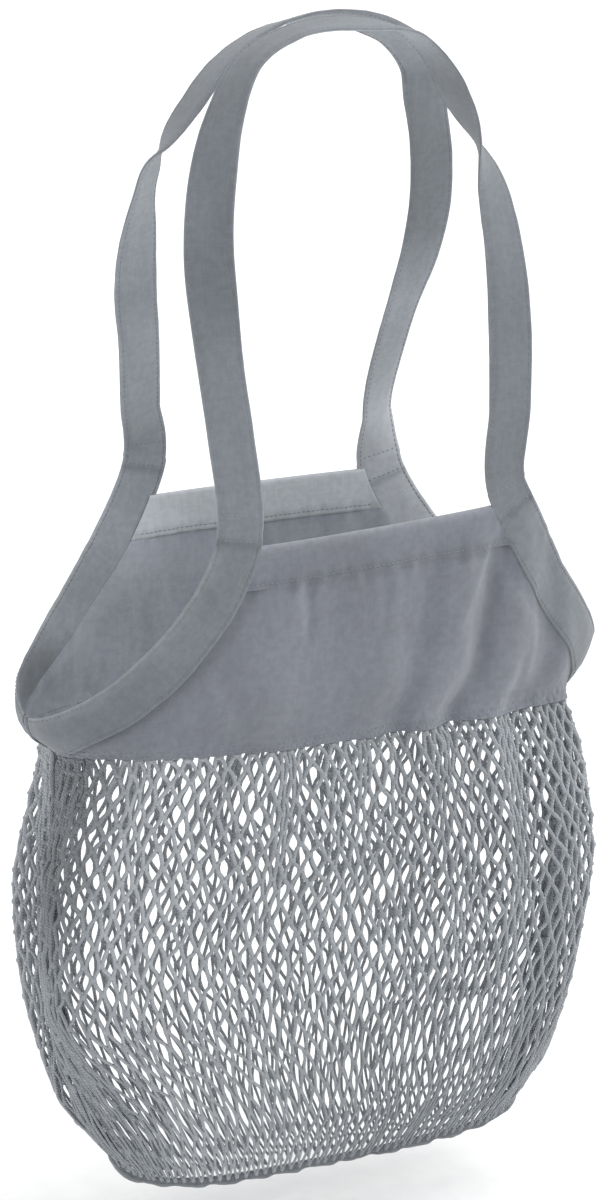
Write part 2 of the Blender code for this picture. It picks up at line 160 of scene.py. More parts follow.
def surface(side, t, level):
    """A point of the front or back face, in the middle of its thickness."""
    t, level = np.broadcast_arrays(np.asarray(t, float), np.asarray(level, float))
    left, right, front, back, square, lobe, skew = smooth(SECTIONS, level)
    turn = t * math.pi / 2
    across = np.sign(t) * np.abs(np.sin(turn)) ** (2 / square)
    deep = np.maximum(np.cos(turn), 0) ** (2 / square)
    beside_seam = np.clip((np.abs(t) - LOBE_START) / (1 - LOBE_START), 0, 1)
    bulge = lobe * np.sin(math.pi * beside_seam**1.6)
    x = (left + right) / 2 + (right - left) / 2 * across + np.sign(t) * bulge
    depth = front if side == FRONT else back
    y = SEAM_ROOM + depth * (1 - skew * across) * deep + folds(side, t, level) * deep
    return np.stack([x, side * y, height(t, level)], -1)


def unit(vectors):
    return vectors / np.maximum(np.linalg.norm(vectors, axis=-1, keepdims=True), 1e-12)


def outward(side, t, level):
    """The direction that a face looks in, with the kink at the border taken as one place."""
    t, level = np.broadcast_arrays(np.asarray(t, float), np.asarray(level, float))
    level = np.where(np.abs(level - BORDER) < 0.02, BORDER, level)
    level = np.clip(level, LEVELS[0], BOTTOM)
    step = 0.005
    after, before = np.clip(t + step, -1, 1), np.clip(t - step, -1, 1)
    right = surface(side, after, level) - surface(side, before, level)
    down = surface(side, t, level + step) - surface(side, t, level - step)
    return unit(side * np.cross(right, down))


LEVELS = np.linspace(-0.30, BOTTOM, 231)
SHARES = np.linspace(-1, 1, 401)


def face_rows(side):
    """Of every level: the length from the middle to either seam, and t at even shares of it."""
    t = np.linspace(-1, 1, 801)
    points = surface(side, t[None, :], LEVELS[:, None])
    steps = np.linalg.norm(np.diff(points, axis=1), axis=2)
    along = np.pad(np.cumsum(steps, axis=1), ((0, 0), (1, 0)))
    along -= along[:, 400:401]
    lengths = np.stack([-along[:, 0], along[:, -1]], 1)
    rows = []
    for ends, row in zip(lengths, along):
        rows.append(np.interp(SHARES * np.where(SHARES < 0, *ends), row, t))
    return lengths, np.array(rows)


FACES = {side: face_rows(side) for side in (FRONT, BACK)}


def bilinear(table, row, column):
    """A table's values at places between its rows and columns."""
    row = np.clip(row, 0, table.shape[0] - 1.0001)
    column = np.clip(column, 0, table.shape[1] - 1.0001)
    r, c = row.astype(int), column.astype(int)
    a, b = row - r, column - c
    top = table[r, c] * (1 - b) + table[r, c + 1] * b
    low = table[r + 1, c] * (1 - b) + table[r + 1, c + 1] * b
    return top * (1 - a) + low * a


def t_of(side, share, level):
    """t at a share of the way from the middle to a seam, along the row at a level."""
    row = (level - LEVELS[0]) / (LEVELS[1] - LEVELS[0])
    column = (share + 1) / (SHARES[1] - SHARES[0])
    return bilinear(FACES[side][1], row, column)


def seam_length(side, end, level):
    """Length along a face from its middle to a side seam."""
    return np.interp(level, LEVELS, FACES[side][0][:, 0 if end == LEFT else 1])


def length_of(side, t, level):
    """Length along the face from its middle to t, which is u on the flat cloth."""
    shares = np.linspace(0, 1, 41)
    t, level = np.broadcast_arrays(t, level)
    steps = surface(side, t[..., None] * shares, level[..., None])
    total = np.linalg.norm(np.diff(steps, axis=-2), axis=-1).sum(-1)
    return np.sign(t) * total


def spread(side, length, z):
    """t and level of points given on the flat cloth: along from the middle, and height."""
    t = np.zeros_like(length)
    for _ in range(4):
        border = smooth(EDGES, t)[0]
        level = (z - HEM_Z) / (border - HEM_Z)
        reach = np.where(length < 0, seam_length(side, LEFT, level), seam_length(side, RIGHT, level))
        t = t_of(side, np.clip(length / reach, -1, 1), level)
    return np.stack([t, level], -1)


def scoop_end(side, end):
    """The level at which a scoop's outer edge meets the side seam."""
    low = SCOOPS[(side, end)][2]
    return (low - HEM_Z) / (float(smooth(EDGES, float(end))[0]) - HEM_Z)


def run_of(points):
    """The length along a line, at each of its points."""
    steps = np.linalg.norm(np.diff(points, axis=0), axis=1)
    return np.concatenate([[0.0], np.cumsum(steps)])


def read_line(places, run, points):
    """What a line holds at places along it, between its points."""
    return np.stack([np.interp(places, run, column) for column in points.T], -1)


def soften(directions, first, last):
    """Directions along a scoop, turned evenly from the first to the last."""
    reach = len(directions) // 9
    padded = np.concatenate([[first] * reach, directions, [last] * reach])
    window = np.ones(2 * reach + 1) / (2 * reach + 1)
    return unit(np.stack([np.convolve(padded[:, axis], window, "valid") for axis in (0, 1)], -1))


def scoop_line(side, end, inset):
    """A line down a scoop as (t, level), a distance in from the strap's outer edge."""
    strap, top, low, exponent = SCOOPS[(side, end)]
    seam = seam_length(side, end, scoop_end(side, end))
    angle = np.linspace(0, math.pi / 2, 400)
    outer = np.stack([
        seam + (strap - seam) * np.cos(angle) ** (2 / exponent),
        top + (low - top) * np.sin(angle) ** (2 / exponent),
    ], -1)
    run = run_of(outer)
    outer = read_line(np.linspace(0, run[-1], 400), run, outer)
    along = unit(np.gradient(outer, axis=0))
    inward = np.stack([along[:, 1], -along[:, 0]], -1)
    inward = soften(inward, first=(-1.0, 0.0), last=(0.0, -1.0))
    line = outer + inset * inward
    mapped = spread(side, end * line[:, 0], line[:, 1])
    mapped[:, 1] = np.minimum(mapped[:, 1], BORDER)
    mapped[-1, 0] = end
    return mapped


def grain(u, v, size, seed, octaves=3):
    """Smooth, repeatable unevenness between about -1 and 1, from a few crossing waves."""
    draw = np.random.default_rng(seed)
    out = np.zeros(np.broadcast(u, v).shape)
    for octave in range(octaves):
        for _ in range(5):
            angle, phase = draw.uniform(0, 2 * math.pi, 2)
            turn = 2 * math.pi * 1.9**octave * draw.uniform(0.7, 1.3)
            wave = u * math.cos(angle) / size[0] + v * math.sin(angle) / size[1]
            out += np.sin(turn * wave + phase) / 1.9**octave
    return out / 5


# Creases between the folds, drawn on the flat cloth
# face, u and z at the top, u and z at the foot, half width, height
CREASES = (
    (FRONT, -0.0400, -0.300, -0.0385, -0.338, 0.0035, -0.0010),
    (FRONT, -0.0480, -0.300, -0.0455, -0.330, 0.0040, 0.0008),
    (FRONT, -0.0200, -0.302, -0.0210, -0.325, 0.0040, -0.0006),
    (FRONT, 0.0120, -0.303, 0.0100, -0.350, 0.0050, -0.0008),
    (FRONT, 0.0900, -0.285, 0.0600, -0.345, 0.0040, 0.0009),
    (FRONT, 0.1196, -0.320, 0.1230, -0.385, 0.0050, 0.0014),
    (FRONT, 0.1480, -0.335, 0.1560, -0.392, 0.0070, 0.0014),
    (FRONT, -0.1020, -0.345, -0.0800, -0.385, 0.0060, 0.0008),
    (FRONT, -0.1250, -0.372, -0.0950, -0.392, 0.0050, -0.0008),
    (BACK, -0.0600, -0.300, -0.0650, -0.350, 0.0050, 0.0010),
    (BACK, 0.0000, -0.302, 0.0030, -0.360, 0.0050, -0.0010),
    (BACK, 0.0350, -0.302, 0.0300, -0.350, 0.0045, 0.0009),
    (BACK, 0.0800, -0.310, 0.1050, -0.380, 0.0050, -0.0010),
)


def creases(side, u, z):
    """How far the creases stand out from a panel."""
    out = np.zeros(np.broadcast(u, z).shape)
    for face, top_u, top_z, foot_u, foot_z, half_width, rise in CREASES:
        if face == side:
            k = (z - top_z) / (foot_z - top_z)
            ends = np.clip((0.5 - np.abs(k - 0.5)) / 0.2 + 0.5, 0, 1)
            out += rise * ends * hump(u - top_u - k * (foot_u - top_u), half_width)
    return out


def relief(side, u, z, level):
    """Creases, wrinkles and puckers that stand out from the large folds."""
    seed = 11 if side == FRONT else 23
    out = 0.0007 * grain(u + 0.35 * (z - HEM_Z), z, (0.030, 0.150), seed)
    out += 0.00025 * grain(u, z, (0.022, 0.026), seed + 1, octaves=2)
    out *= np.clip((level - HEM_END) / 0.2, 0, 1)
    out += creases(side, u, z)
    by_hem = hump(level - HEM_END, 0.06)
    drift = 2 * grain(u, z, (0.06, 0.06), seed + 3)
    out += PUCKER * by_hem * np.sin(2 * math.pi * u / HEM_PUCKERS + drift)
    by_border = hump(level - BORDER, 0.10)
    out += PUCKER * by_border * grain(u, z, (0.0062, 0.0085), seed + 2, octaves=2) * 1.6
    return out


def add_mesh(name, points, faces, uv, material, wear_and_shade=None):
    """A mesh piece from numpy arrays, with its flat-cloth coordinates as the UV map.

    Its wear attribute is 1 where the colour is palest, on rubbed edges and where painted light falls,
    and -1 where painted shade is darkest.
    """
    mesh = bpy.data.meshes.new(name)
    mesh.from_pydata(points.tolist(), [], faces)
    corner = np.zeros(len(mesh.loops), np.int32)
    mesh.loops.foreach_get("vertex_index", corner)
    mesh.uv_layers.new(name="flat").data.foreach_set("uv", uv[corner].astype(np.float32).ravel())
    # The attribute holds real rubbed wear together with painted shade and painted light.
    wear_and_light = mesh.attributes.new("wear_and_shade", "FLOAT", "POINT")
    values = np.zeros(len(points)) if wear_and_shade is None else wear_and_shade.ravel()
    wear_and_light.data.foreach_set("value", values.astype(np.float32))
    mesh.shade_smooth()
    mesh.materials.append(material)
    piece = bpy.data.objects.new(name, mesh)
    bpy.context.scene.collection.objects.link(piece)
    return piece


def cloth_wall(name, middle, normals, thick, uv, materials, wear_and_shade=None, flip=False):
    """A closed wall round a grid of middle points; materials, and the wear with its painted shade, are
    outer, inner.
    """
    rows, columns = middle.shape[:2]
    half = np.broadcast_to(np.asarray(thick, float), (rows, columns))[..., None] / 2
    outer, inner = middle + normals * half, middle - normals * half
    points = np.concatenate([outer.reshape(-1, 3), inner.reshape(-1, 3)])
    index = np.arange(rows * columns).reshape(rows, columns)
    corners = index[:-1, :-1], index[1:, :-1], index[1:, 1:], index[:-1, 1:]
    quads = np.stack(corners, -1).reshape(-1, 4)
    rim = np.concatenate([index[0], index[1:, -1], index[-1, -2::-1], index[-2:0:-1, 0]])
    after = np.roll(rim, -1)
    shift = rows * columns
    walls = np.stack([rim, after, after + shift, rim + shift], -1)
    faces = np.concatenate([quads, quads[:, ::-1] + shift, walls])
    if flip:
        faces = faces[:, ::-1]
    flat = np.concatenate([uv.reshape(-1, 2)] * 2)
    worn_and_shaded = None if wear_and_shade is None else np.stack(wear_and_shade)
    piece = add_mesh(name, points, faces.tolist(), flat, materials[0], worn_and_shaded)
    piece.data.materials.append(materials[1])
    slots = np.zeros(len(faces), np.int32)
    slots[len(quads) : 2 * len(quads)] = 1
    piece.data.polygons.foreach_set("material_index", slots)
    return piece


def node_group(name, inputs, outputs):
    """An empty shader node group with the named sockets, and its node maker."""
    group = bpy.data.node_groups.new(name, "ShaderNodeTree")
    for socket, kind in inputs:
        group.interface.new_socket(socket, in_out="INPUT", socket_type=kind)
    for socket, kind in outputs:
        group.interface.new_socket(socket, in_out="OUTPUT", socket_type=kind)
    return group, group.nodes.new("NodeGroupInput"), group.nodes.new("NodeGroupOutput")


def plug(tree, socket, value):
    """A link or a plain value put into a socket."""
    if isinstance(value, bpy.types.NodeSocket):
        tree.links.new(value, socket)
    else:
        socket.default_value = value


def math_node(tree, operation, first, second=0.0, third=None):
    node = tree.nodes.new("ShaderNodeMath")
    node.operation = operation
    plug(tree, node.inputs[0], first)
    plug(tree, node.inputs[1], second)
    if third is not None:
        plug(tree, node.inputs[2], third)
    return node.outputs[0]


def noise_node(tree, vector, scale, detail=3.0, stretch=(1.0, 1.0, 1.0)):
    mapping = tree.nodes.new("ShaderNodeMapping")
    mapping.inputs["Scale"].default_value = stretch
    tree.links.new(vector, mapping.inputs["Vector"])
    noise = tree.nodes.new("ShaderNodeTexNoise")
    noise.inputs["Scale"].default_value = scale
    noise.inputs["Detail"].default_value = detail
    tree.links.new(mapping.outputs[0], noise.inputs["Vector"])
    return noise.outputs["Fac"]


def range_node(tree, value, low, high, to_low, to_high):
    node = tree.nodes.new("ShaderNodeMapRange")
    node.interpolation_type = "SMOOTHSTEP"
    limits = {"From Min": low, "From Max": high, "To Min": to_low, "To Max": to_high}
    for socket, number in limits.items():
        plug(tree, node.inputs[socket], number)
    plug(tree, node.inputs["Value"], value)
    return node.outputs["Result"]


def mix_node(tree, factor, first, second, blend="MIX"):
    node = tree.nodes.new("ShaderNodeMix")
    node.data_type = "RGBA"
    node.blend_type = blend
    plug(tree, node.inputs["Factor"], factor)
    plug(tree, node.inputs[6], first)
    plug(tree, node.inputs[7], second)
    return node.outputs[2]


WEAVE_PITCH = 0.00055    # from thread to thread
WEAVE_BUMP = 0.00018
YARN_FINE, SLUB_LONG = 900.0, 45.0  # how often the yarn changes across and along itself
# The pale colour of rubbed cotton, also used for painted light.
RUBBED_AND_LIT_COLOUR = (0.62, 0.64, 0.67, 1.0)


def make_weave_group():
    """Plain weave on the flat cloth: threads over and under, with thick and thin yarn."""
    group, given, made = node_group(
        "plain_weave",
        [("Flat", "NodeSocketVector"), ("Pitch", "NodeSocketFloat")],
        [("Height", "NodeSocketFloat"), ("Slub", "NodeSocketFloat")],
    )
    split = group.nodes.new("ShaderNodeSeparateXYZ")
    group.links.new(given.outputs["Flat"], split.inputs[0])
    turn = math_node(group, "DIVIDE", math.pi, given.outputs["Pitch"])
    across = math_node(group, "SINE", math_node(group, "MULTIPLY", split.outputs[0], turn))
    along = math_node(group, "SINE", math_node(group, "MULTIPLY", split.outputs[1], turn))
    checker = math_node(group, "MULTIPLY", across, along)
    warp_slub = noise_node(group, given.outputs["Flat"], 1.0, 2.0, (YARN_FINE, SLUB_LONG, 1.0))
    weft_slub = noise_node(group, given.outputs["Flat"], 1.0, 2.0, (SLUB_LONG, YARN_FINE, 1.0))
    slub = math_node(group, "MULTIPLY", math_node(group, "ADD", warp_slub, weft_slub), 0.5)
    threads = math_node(group, "MULTIPLY_ADD", checker, 0.5, 0.5)
    group.links.new(math_node(group, "ADD", threads, slub), made.inputs["Height"])
    group.links.new(slub, made.inputs["Slub"])
    return group


def make_dye_group():
    """Cotton dye that took unevenly, washed paler where the cloth is rubbed, with painted shade and
    painted light laid on from the wear attribute.
    """
    group, given, made = node_group(
        "garment_dye_and_painted_shade",
        [
            ("Place", "NodeSocketVector"),
            ("Colour", "NodeSocketColor"),
            ("Slub", "NodeSocketFloat"),
            ("Wear_and_shade", "NodeSocketFloat"),
        ],
        [("Colour", "NodeSocketColor"), ("Rough", "NodeSocketFloat")],
    )
    clouds = noise_node(group, given.outputs["Place"], 16.0, 3.0)
    specks = noise_node(group, given.outputs["Place"], 260.0, 2.0)
    shade = range_node(group, clouds, 0.3, 0.7, 0.90, 1.10)
    slubs = range_node(group, given.outputs["Slub"], 0.35, 0.65, 0.96, 1.04)
    shade = math_node(group, "MULTIPLY", shade, slubs)
    shade = math_node(group, "MULTIPLY", shade, range_node(group, specks, 0.35, 0.65, 0.95, 1.05))
    # Below 0 the wear input is painted shade: it darkens the colour by up to 45 per cent.
    deep = math_node(group, "MINIMUM", given.outputs["Wear_and_shade"], 0.0)
    shade = math_node(group, "MULTIPLY", shade, math_node(group, "MULTIPLY_ADD", deep, 0.45, 1.0))
    tint = group.nodes.new("ShaderNodeCombineXYZ")
    for axis in range(3):
        group.links.new(shade, tint.inputs[axis])
    dyed_and_shaded = mix_node(group, 1.0, given.outputs["Colour"], tint.outputs[0], "MULTIPLY")
    # Above 0 it mixes towards a pale colour: rubbed wear, and painted light.
    wear_and_light = math_node(group, "MAXIMUM", given.outputs["Wear_and_shade"], 0.0)
    ragged = math_node(group, "MULTIPLY", wear_and_light, range_node(group, specks, 0.35, 0.65, 0.58, 0.70))
    worn_and_shaded = mix_node(group, ragged, dyed_and_shaded, RUBBED_AND_LIT_COLOUR)
    group.links.new(worn_and_shaded, made.inputs["Colour"])
    group.links.new(range_node(group, clouds, 0.3, 0.7, 0.84, 0.96), made.inputs["Rough"])
    return group


WEAVE = make_weave_group()
DYE_AND_SHADE = make_dye_group()


def cotton(name, colour, pitch=WEAVE_PITCH, bump_depth=WEAVE_BUMP):
    """Matt woven cotton: the weave's bump, uneven dye, the painted shade and light of its wear
    attribute and a little fuzz at grazing angles.
    """
    material = bpy.data.materials.new(name)
    material.use_nodes = True
    tree = material.node_tree
    shader = tree.nodes["Principled BSDF"]
    shader.inputs["Sheen Weight"].default_value = 0.25
    shader.inputs["Sheen Roughness"].default_value = 0.6
    shader.inputs["Specular IOR Level"].default_value = 0.2
    flat = tree.nodes.new("ShaderNodeUVMap")
    flat.name = flat.uv_map = "flat"
    place = tree.nodes.new("ShaderNodeTexCoord")
    wear_and_shade = tree.nodes.new("ShaderNodeAttribute")
    wear_and_shade.attribute_name = "wear_and_shade"
    weave = tree.nodes.new("ShaderNodeGroup")
    weave.node_tree = WEAVE
    weave.inputs["Pitch"].default_value = pitch
    tree.links.new(flat.outputs["UV"], weave.inputs["Flat"])
    dye_and_shade = tree.nodes.new("ShaderNodeGroup")
    dye_and_shade.node_tree = DYE_AND_SHADE
    dye_and_shade.inputs["Colour"].default_value = (*colour, 1.0)
    tree.links.new(place.outputs["Object"], dye_and_shade.inputs["Place"])
    tree.links.new(weave.outputs["Slub"], dye_and_shade.inputs["Slub"])
    tree.links.new(wear_and_shade.outputs["Fac"], dye_and_shade.inputs["Wear_and_shade"])
    tree.links.new(dye_and_shade.outputs["Colour"], shader.inputs["Base Color"])
    tree.links.new(dye_and_shade.outputs["Rough"], shader.inputs["Roughness"])
    bump = tree.nodes.new("ShaderNodeBump")
    bump.name = "bump"
    bump.inputs["Strength"].default_value = 0.6
    bump.inputs["Distance"].default_value = bump_depth
    tree.links.new(weave.outputs["Height"], bump.inputs["Height"])
    tree.links.new(bump.outputs["Normal"], shader.inputs["Normal"])
    return material


# The dye is strong on the cloth's right side and paler on its wrong side
PANEL_COTTON = (
    cotton("panel_right_side", (0.157, 0.168, 0.197)),
    cotton("panel_wrong_side", (0.315, 0.336, 0.378)),
)


def cloth_grid(side, levels, inset, columns):
    """t and level of a panel's grid, whose sides follow the scoops at an inset."""
    level = np.repeat(levels[:, None], columns + 1, axis=1)
    ends = []
    for end in (LEFT, RIGHT):
        line = np.vstack([scoop_line(side, end, inset), (end, BORDER)])
        touch = int(np.argmax(line[:, 1] >= BORDER))
        ends.append(np.interp(levels, line[: touch + 1, 1], line[: touch + 1, 0])[:, None])
    t = ends[0] + (ends[1] - ends[0]) * np.linspace(0, 1, columns + 1)
    return t, level


def cloth_points(side, t, level, lift=0.0):
    """Places on a panel with its wrinkles, the direction it faces, and its flat coordinates."""
    u, z = length_of(side, t, level), height(t, level)
    normals = outward(side, t, level)
    points = surface(side, t, level) + normals * (relief(side, u, z, level) + lift)[..., None]
    return points, normals, np.stack([u, z], -1)


def flat_area(points):
    """Area of a grid of points, which a soft fold doesn't change."""
    a, b = points[1:, :-1] - points[:-1, :-1], points[:-1, 1:] - points[:-1, :-1]
    return float(np.linalg.norm(np.cross(a, b), axis=-1).sum())


def panel_painted_shade(side, t, level, u, z, beside):
    """Painted shade and painted light on a panel's right side and its wrong side: paler on the ridges
    of folds and creases, darker in their valleys, in the dents by the hem's stitches, in the groove
    beside the binding and, inside, deep in the corners by the side seams.
    """
    fold_shading = 60 * creases(side, u, z) + 30 * folds(side, t, level)
    by_hem = hump(level - HEM_END, 0.022) * (0.7 + 0.3 * np.sin(u * 330))
    # Painted shade in the dents along the hem's stitches and in the groove beside the binding.
    lines = fold_shading - 0.40 * by_hem - 0.45 * hump(beside - 0.002, 0.004)
    # Painted shade deep inside the corners by the side seams, on the wrong side.
    corner = hump(1 - np.abs(t), 0.38) * hump(level - 0.95, 0.30)
    return np.clip(lines, -1, 0.08), np.clip(-0.4 * lines - 1.3 * corner, -1, 0.08)


WORDS = {FRONT: "front", BACK: "back"}
panels = {}
for side, word in WORDS.items():
    rows = HEM_END * 0.9 + (BORDER - HEM_END * 0.9) * (1 - (1 - np.linspace(0, 1, 91)) ** 1.4)
    t, level = cloth_grid(side, rows, STRAP_WIDTH - PANEL_TUCK, 220)
    points, normals, uv = cloth_points(side, t, level)
    u, z = uv[..., 0], uv[..., 1]
    from_ends = np.minimum(np.abs(u - u[:, :1]), np.abs(u - u[:, -1:]))
    beside = from_ends * 0.7 - PANEL_TUCK
    points -= normals * (BINDING_GROOVE * hump(beside, 0.006))[..., None]
    # Painted shade and painted light, carried by the wear attribute.
    wear_and_shade = panel_painted_shade(side, t, level, u, z, beside)
    name = word + "_panel_cloth"
    panel = cloth_wall(name, points, normals, PANEL_THICK, uv, PANEL_COTTON, wear_and_shade, flip=side == BACK)
    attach(panel, "root")
    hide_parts(word + "_panel")
    panels[side] = (panel, float(np.ptp(u)), float(np.ptp(z)), flat_area(points))


# Sewing thread: one strand of cotton-wrapped thread, a shade paler than the cloth. Each
# stitch is a short bead that rises from one hole and goes down at the next.

THREAD = 0.00030        # radius
STITCH = 0.0030         # from hole to hole
STITCH_SIDES = 6
STITCH_START = 0.12     # where it comes up, as a share of the way to the next
# Its two holes and its top: share along it, and width there
STITCH_RINGS = ((0.0, 0.55), (0.38, 1.0), (0.76, 0.55))
HOLE_DEPTH = 0.00015

THREAD_COTTON = cotton("thread_cotton", (0.190, 0.206, 0.232), pitch=0.0004, bump_depth=0.00008)


def stitches(name, lines, radius=THREAD, pitch=STITCH, material=THREAD_COTTON, lift=0.0001):
    """Stitches along lines of (points, outward directions), all as one mesh."""
    beads = []
    for points, normals in lines:
        run = run_of(points)
        count = int(run[-1] / pitch)
        start = (np.arange(count) + STITCH_START) * run[-1] / count
        for (share, wide), out in zip(STITCH_RINGS, (-HOLE_DEPTH, lift, -HOLE_DEPTH)):
            s = start + share * run[-1] / count
            up = unit(read_line(s, run, normals))
            at = read_line(s, run, points) + up * out
            ahead = read_line(s + 1e-4, run, points) - read_line(s - 1e-4, run, points)
            beads.append((at, up, unit(ahead), np.full(count, wide * radius)))
    centres, ups, aheads, sizes = (np.concatenate([b[k] for b in beads]) for k in range(4))
    sideways = unit(np.cross(aheads, ups))
    angle = np.arange(STITCH_SIDES) * 2 * math.pi / STITCH_SIDES
    downwards = np.cross(aheads, sideways)
    ring = np.cos(angle)[None, :, None] * sideways[:, None]
    ring = ring + np.sin(angle)[None, :, None] * downwards[:, None]
    points = centres[:, None] + ring * sizes[:, None, None]
    faces = []
    first = 0
    for k in range(0, len(beads), 3):
        count = len(beads[k][0])
        base = first + np.arange(count)[:, None] * STITCH_SIDES
        j = np.arange(STITCH_SIDES)[None, :]
        following = (j + 1) % STITCH_SIDES
        band = count * STITCH_SIDES
        for ring_number in (0, 1):
            low, high = base + ring_number * band, base + (ring_number + 1) * band
            quads = np.stack([low + j, low + following, high + following, high + j], -1)
            faces += quads.reshape(-1, 4).tolist()
        faces += (base + j[:, ::-1]).tolist()
        faces += (base + 2 * band + j).tolist()
        first += 3 * band
    flat = np.stack([points[..., 0], points[..., 2]], -1).reshape(-1, 2)
    return add_mesh(name, points.reshape(-1, 3), faces, flat, material)


# Hems: the top edge of each panel between the straps, turned over twice to the inside
# and held by one row of stitches near its lower edge.

HEM_THICK = 0.0022
HEM_TURN = 0.10         # the share of its depth in which it rounds over at the top
HEM_STITCH_UP = 0.0030  # from the hem's lower edge to its stitches
# The hem's inner face is given a paler colour: painted light, where light falling into the bag's mouth
# reaches it.
HEM_COTTON = PANEL_COTTON[0], cotton("hem_inside_painted_light", (0.49, 0.52, 0.55))

for side, word in WORDS.items():
    rows = np.linspace(0.0, HEM_END, 17)
    t, level = cloth_grid(side, rows, STRAP_WIDTH - PANEL_TUCK, 160)
    points, normals, uv = cloth_points(side, t, level, lift=-(HEM_THICK - PANEL_THICK) / 2)
    from_top = level / (HEM_TURN * HEM_END)
    thick = HEM_THICK * np.clip(0.45 + 0.55 * np.sqrt(np.clip(from_top, 0, 1)), 0, 1)
    by_stitches = hump(level - HEM_END * 0.88, 0.020)
    # Paler where the hem's top fold is rubbed; darker along its stitches, painted shade in the dents
    # they pull.
    hem_wear_and_shade = 0.35 * np.exp(-from_top) - 0.35 * by_stitches
    name = word + "_hem_cloth"
    wear_and_shade = (hem_wear_and_shade, hem_wear_and_shade)
    hem = cloth_wall(name, points, normals, thick, uv, HEM_COTTON, wear_and_shade, flip=side == BACK)
    t, level = cloth_grid(side, np.array([HEM_END - HEM_STITCH_UP / CLOTH_DROP]), STRAP_WIDTH, 300)
    points, normals, _ = cloth_points(side, t, level)
    outer = points[0] + normals[0] * PANEL_THICK / 2
    inner = points[0] - normals[0] * (HEM_THICK - PANEL_THICK / 2)
    rows_of_thread = [(outer, normals[0]), (inner, -normals[0])]
    thread = stitches(word + "_hem_stitches", rows_of_thread)
    for piece in (hem, thread):
        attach(piece, "root")
    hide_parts(word + "_hem")
    panel, wide, deep, area = panels[side]


# Handles: one long strap in front and one behind. Each is a strip of the same cotton
# folded to several layers, topstitched along both edges. It binds both scoops of its
# panel and runs free over the hanging point between them.

STRAP_THICK = 0.0024
FREE_ROWS = 420
SCOOP_ROWS = 110
BASE_BLEND = 0.030      # the stretch in which it turns from its route to its scoop
STRAP_STITCH_IN = 0.0022 # from the strap's edge to its stitches
END_STITCHES = (0.002, 0.016) # from where the strap's end is sewn to the rows across it
BINDING_THICK = 0.80    # where it binds a scoop, as a share of the strap's thickness
# How far down each scoop the strap's end is sewn across the binding
STRAP_ENDS = {(FRONT, LEFT): 0.004, (FRONT, RIGHT): 0.016, (BACK, LEFT): 0.006, (BACK, RIGHT): 0.012}
# Painted shade and painted light on the inner side: darker under the other strap and deep in the bag,
# paler where it faces the light: face, x, z, half width, half height, amount
STRAP_PAINTED_SHADES = (
    (FRONT, 0.060, -0.045, 0.025, 0.045, -0.90),
    (BACK, 0.062, -0.100, 0.030, 0.060, -0.85),
    (BACK, 0.072, -0.282, 0.050, 0.066, 0.80),
    (BACK, -0.180, -0.375, 0.040, 0.025, -0.95),
    (BACK, -0.105, -0.170, 0.040, 0.110, -0.25),
)
STRAP_COTTON = (
    cotton("strap_right_side", (0.152, 0.168, 0.187)),
    cotton("strap_wrong_side", (0.275, 0.300, 0.328)),
)
# Places across the strap, from its outer edge at 1 to its inner edge at -1
HALF_ACROSS = (1.0, 0.985, 0.955, 0.90, 0.84, 0.75, 0.55, 0.30)
ACROSS = np.array(HALF_ACROSS + (0.0,) + tuple(-w for w in reversed(HALF_ACROSS)))
MIDDLE = len(HALF_ACROSS)
FROM_EDGE = 1 - np.abs(ACROSS)

# x, y, z, turn: 90 degrees where the strap lies flat to the front or back, and 0 where
# it lies flat over the hanging point
ROUTES = {
    FRONT: np.array([
        [-0.0990, -0.0500, -0.2180, 88],
        [-0.1016, -0.0440, -0.1830, 89],
        [-0.1028, -0.0380, -0.1510, 79],
        [-0.1030, -0.0320, -0.1140, 53],
        [-0.0972, -0.0260, -0.0760, 40],
        [-0.0846, -0.0200, -0.0389, 15],
        [-0.0705, -0.0170, -0.0163, 3],
        [-0.0434, -0.0150, -0.0032, -1],
        [-0.0016, -0.0148, -0.0012, 5],
        [0.0309, -0.0155, -0.0090, -4],
        [0.0502, -0.0175, -0.0295, -8],
        [0.0570, -0.0190, -0.0440, -13],
        [0.0645, -0.0210, -0.0585, -2],
        [0.0779, -0.0260, -0.0970, 58],
        [0.0848, -0.0300, -0.1350, 77],
        [0.0860, -0.0360, -0.1790, 89],
        [0.0831, -0.0420, -0.2230, 87],
    ]),
    BACK: np.array([
        [-0.1078, 0.0450, -0.2200, 79],
        [-0.1108, 0.0400, -0.1800, 80],
        [-0.1145, 0.0360, -0.1500, 83],
        [-0.1151, 0.0310, -0.1200, 71],
        [-0.1128, 0.0270, -0.0930, 50],
        [-0.1091, 0.0250, -0.0785, 44],
        [-0.1010, 0.0230, -0.0646, 16],
        [-0.0848, 0.0200, -0.0423, 3],
        [-0.0684, 0.0172, -0.0220, 7],
        [-0.0425, 0.0154, -0.0060, 14],
        [-0.0026, 0.0148, -0.0020, 23],
        [0.0252, 0.0155, -0.0090, 28],
        [0.0455, 0.0170, -0.0205, 30],
        [0.0600, 0.0190, -0.0360, 55],
        [0.0630, 0.0220, -0.0570, 90],
        [0.0685, 0.0250, -0.0920, 92],
        [0.0694, 0.0280, -0.1180, 92],
        [0.0644, 0.0310, -0.1480, 100],
        [0.0561, 0.0350, -0.1760, 111],
        [0.0498, 0.0390, -0.2020, 113],
        [0.0451, 0.0430, -0.2280, 115],
        [0.0456, 0.0470, -0.2480, 117],
    ]),
}


